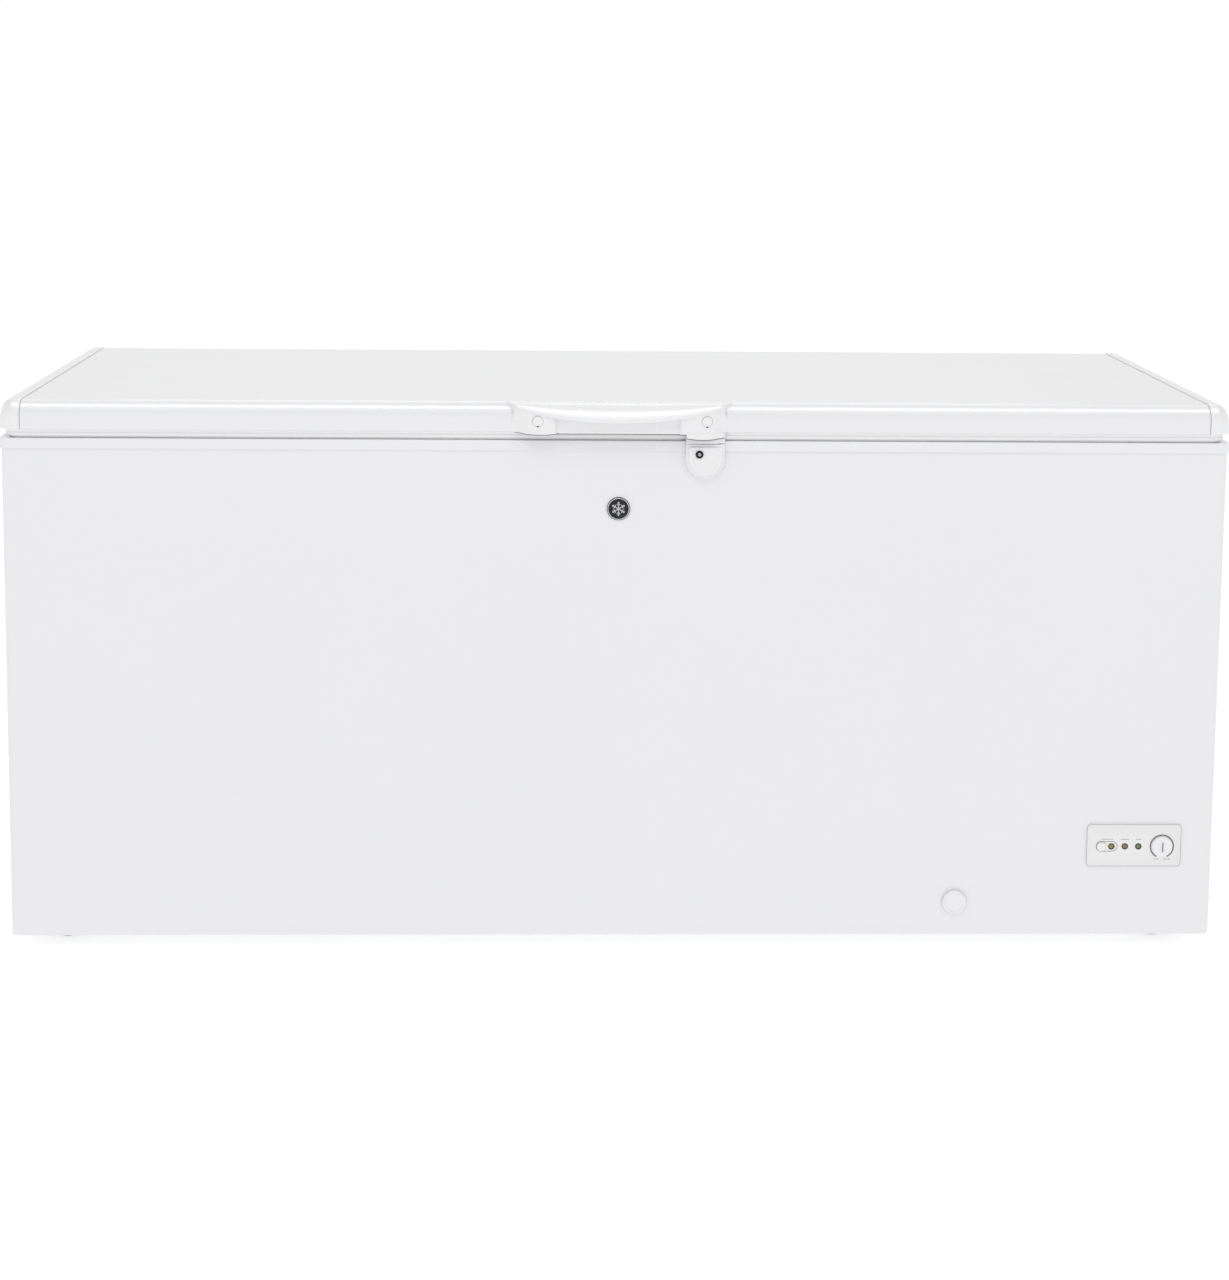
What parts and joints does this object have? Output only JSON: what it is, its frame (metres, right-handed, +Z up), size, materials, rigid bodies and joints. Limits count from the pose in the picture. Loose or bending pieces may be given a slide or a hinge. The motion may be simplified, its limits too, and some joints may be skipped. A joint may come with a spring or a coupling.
{
  "type": "chest freezer",
  "caption": "Long white chest freezer with a foamed steel lid on sprung hinges, a crescent handle with key lock, a front control panel, a drain and hanging wire baskets.",
  "frame": {"origin": "on the floor, under the middle of the whole object's box", "axes": "+X to the right along the front, +Y from the front to the back, +Z up"},
  "size_m": [1.854, 0.754, 0.85],
  "materials": {
    "white_steel": "gloss",
    "white_plastic": "satin",
    "liner_white": "satin",
    "galvanised": "satin",
    "zinc_screws": "gloss",
    "black_steel": "satin",
    "copper": "gloss",
    "rubber_black": "matte",
    "gasket_grey": "matte",
    "foam": "matte",
    "panel_white": "satin",
    "black_plastic": "satin",
    "board_green": "satin",
    "lens_olive": "gloss",
    "lens_amber": "gloss",
    "lens_green": "gloss",
    "chrome_trim": "polished",
    "badge_dark": "gloss",
    "key_metal": "satin",
    "dial_grey": "satin",
    "wire_white": "satin",
    "grip_plastic": "satin"
  },
  "bodies": {
    "root": {"outer_wrapper": "white_steel", "back_panel": "galvanised", "bottom_panel": "galvanised", "base_pan": "galvanised", "feet": "rubber_black", "foam_insulation": "foam", "inner_liner": "liner_white", "top_collar": "white_plastic", "condenser_coil": "black_steel", "evaporator_coil": "copper", "compressor": "black_steel", "compressor_grommets": "rubber_black", "compressor_bolts": "zinc_screws", "relay_cover": "black_plastic", "filter_drier": "copper", "refrigerant_tubes": "copper", "rear_cover": "galvanised", "side_grille": "white_plastic", "cover_screws": "zinc_screws", "cord_gland": "rubber_black", "control_fascia": "panel_white", "control_housing": "panel_white", "control_board": "board_green", "thermostat": "galvanised", "alarm_led": "lens_olive", "temperature_led": "lens_amber", "power_led": "lens_green", "badge_ring": "chrome_trim", "badge_disc": "badge_dark", "lock_cover": "white_plastic", "lock_barrel": "black_plastic", "drain_tube": "panel_white", "drain_outlet": "white_plastic", "hinge_bases": "galvanised", "hinge_pins": "zinc_screws", "hinge_springs": "black_steel", "hinge_screws": "zinc_screws"},
    "lid": {"lid_skin": "white_steel", "lid_cap_left": "white_plastic", "lid_cap_right": "white_plastic", "lid_foam": "foam", "lid_liner": "white_plastic", "lid_gasket": "gasket_grey", "handle": "white_plastic", "handle_screws": "zinc_screws", "handle_screw_caps": "white_plastic", "latch_striker": "white_plastic", "hinge_leaves": "galvanised", "lid_hinge_screws": "zinc_screws"},
    "plungers": {"spring_plungers": "panel_white"},
    "dial": {"temperature_dial": "dial_grey"},
    "button": {"alarm_button": "dial_grey"},
    "key_lock": {"lock_plug": "key_metal", "lock_cam": "key_metal"},
    "drain_plug": {"drain_cap": "white_plastic"},
    "floor_stopper": {"drain_stopper": "white_plastic"},
    "left_basket": {"basket_left": "wire_white", "basket_grips_left": "grip_plastic"},
    "right_basket": {"basket_right": "wire_white", "basket_grips_right": "grip_plastic"}
  },
  "joints": [
    {"name": "lid_hinge", "type": "hinge", "parent": "root", "child": "lid", "pos_m": [0, 0.364, 0.806], "axis": [-1, 0, 0], "range_deg": [0, 80], "stiffness_Nm_per_rad": 21, "springref_deg": 100.84},
    {"name": "plunger_slide", "type": "slide", "parent": "root", "child": "plungers", "axis": [0, 0, 1], "range_m": [0, 0.0076], "deforming": ["hinge_springs"]},
    {"name": "dial_turn", "type": "hinge", "parent": "root", "child": "dial", "pos_m": [0.8442, -0.337, 0.1625], "axis": [0, -1, 0], "range_deg": [-140, 140]},
    {"name": "button_push", "type": "slide", "parent": "root", "child": "button", "axis": [0, 1, 0], "range_m": [0, 0.0015], "stiffness_N_per_m": 400, "springref_m": -0.002},
    {"name": "key_turn", "type": "hinge", "parent": "root", "child": "key_lock", "pos_m": [0.1206, -0.337, 0.7726], "axis": [0, -1, 0], "range_deg": [0, 90]},
    {"name": "drain_cap_pull", "type": "slide", "parent": "root", "child": "drain_plug", "axis": [0, -1, 0], "range_m": [0, 0.03]},
    {"name": "stopper_lift", "type": "slide", "parent": "root", "child": "floor_stopper", "axis": [0, 0, 1], "range_m": [0, 0.025]},
    {"name": "left_basket_slide", "type": "slide", "parent": "root", "child": "left_basket", "axis": [1, 0, 0], "range_m": [0, 0.6]},
    {"name": "right_basket_slide", "type": "slide", "parent": "root", "child": "right_basket", "axis": [1, 0, 0], "range_m": [-0.6, 0]}
  ],
  "couplings": [
    {"joint": "plunger_slide", "follows": "lid_hinge", "m_per_rad": 0.005371}
  ]
}
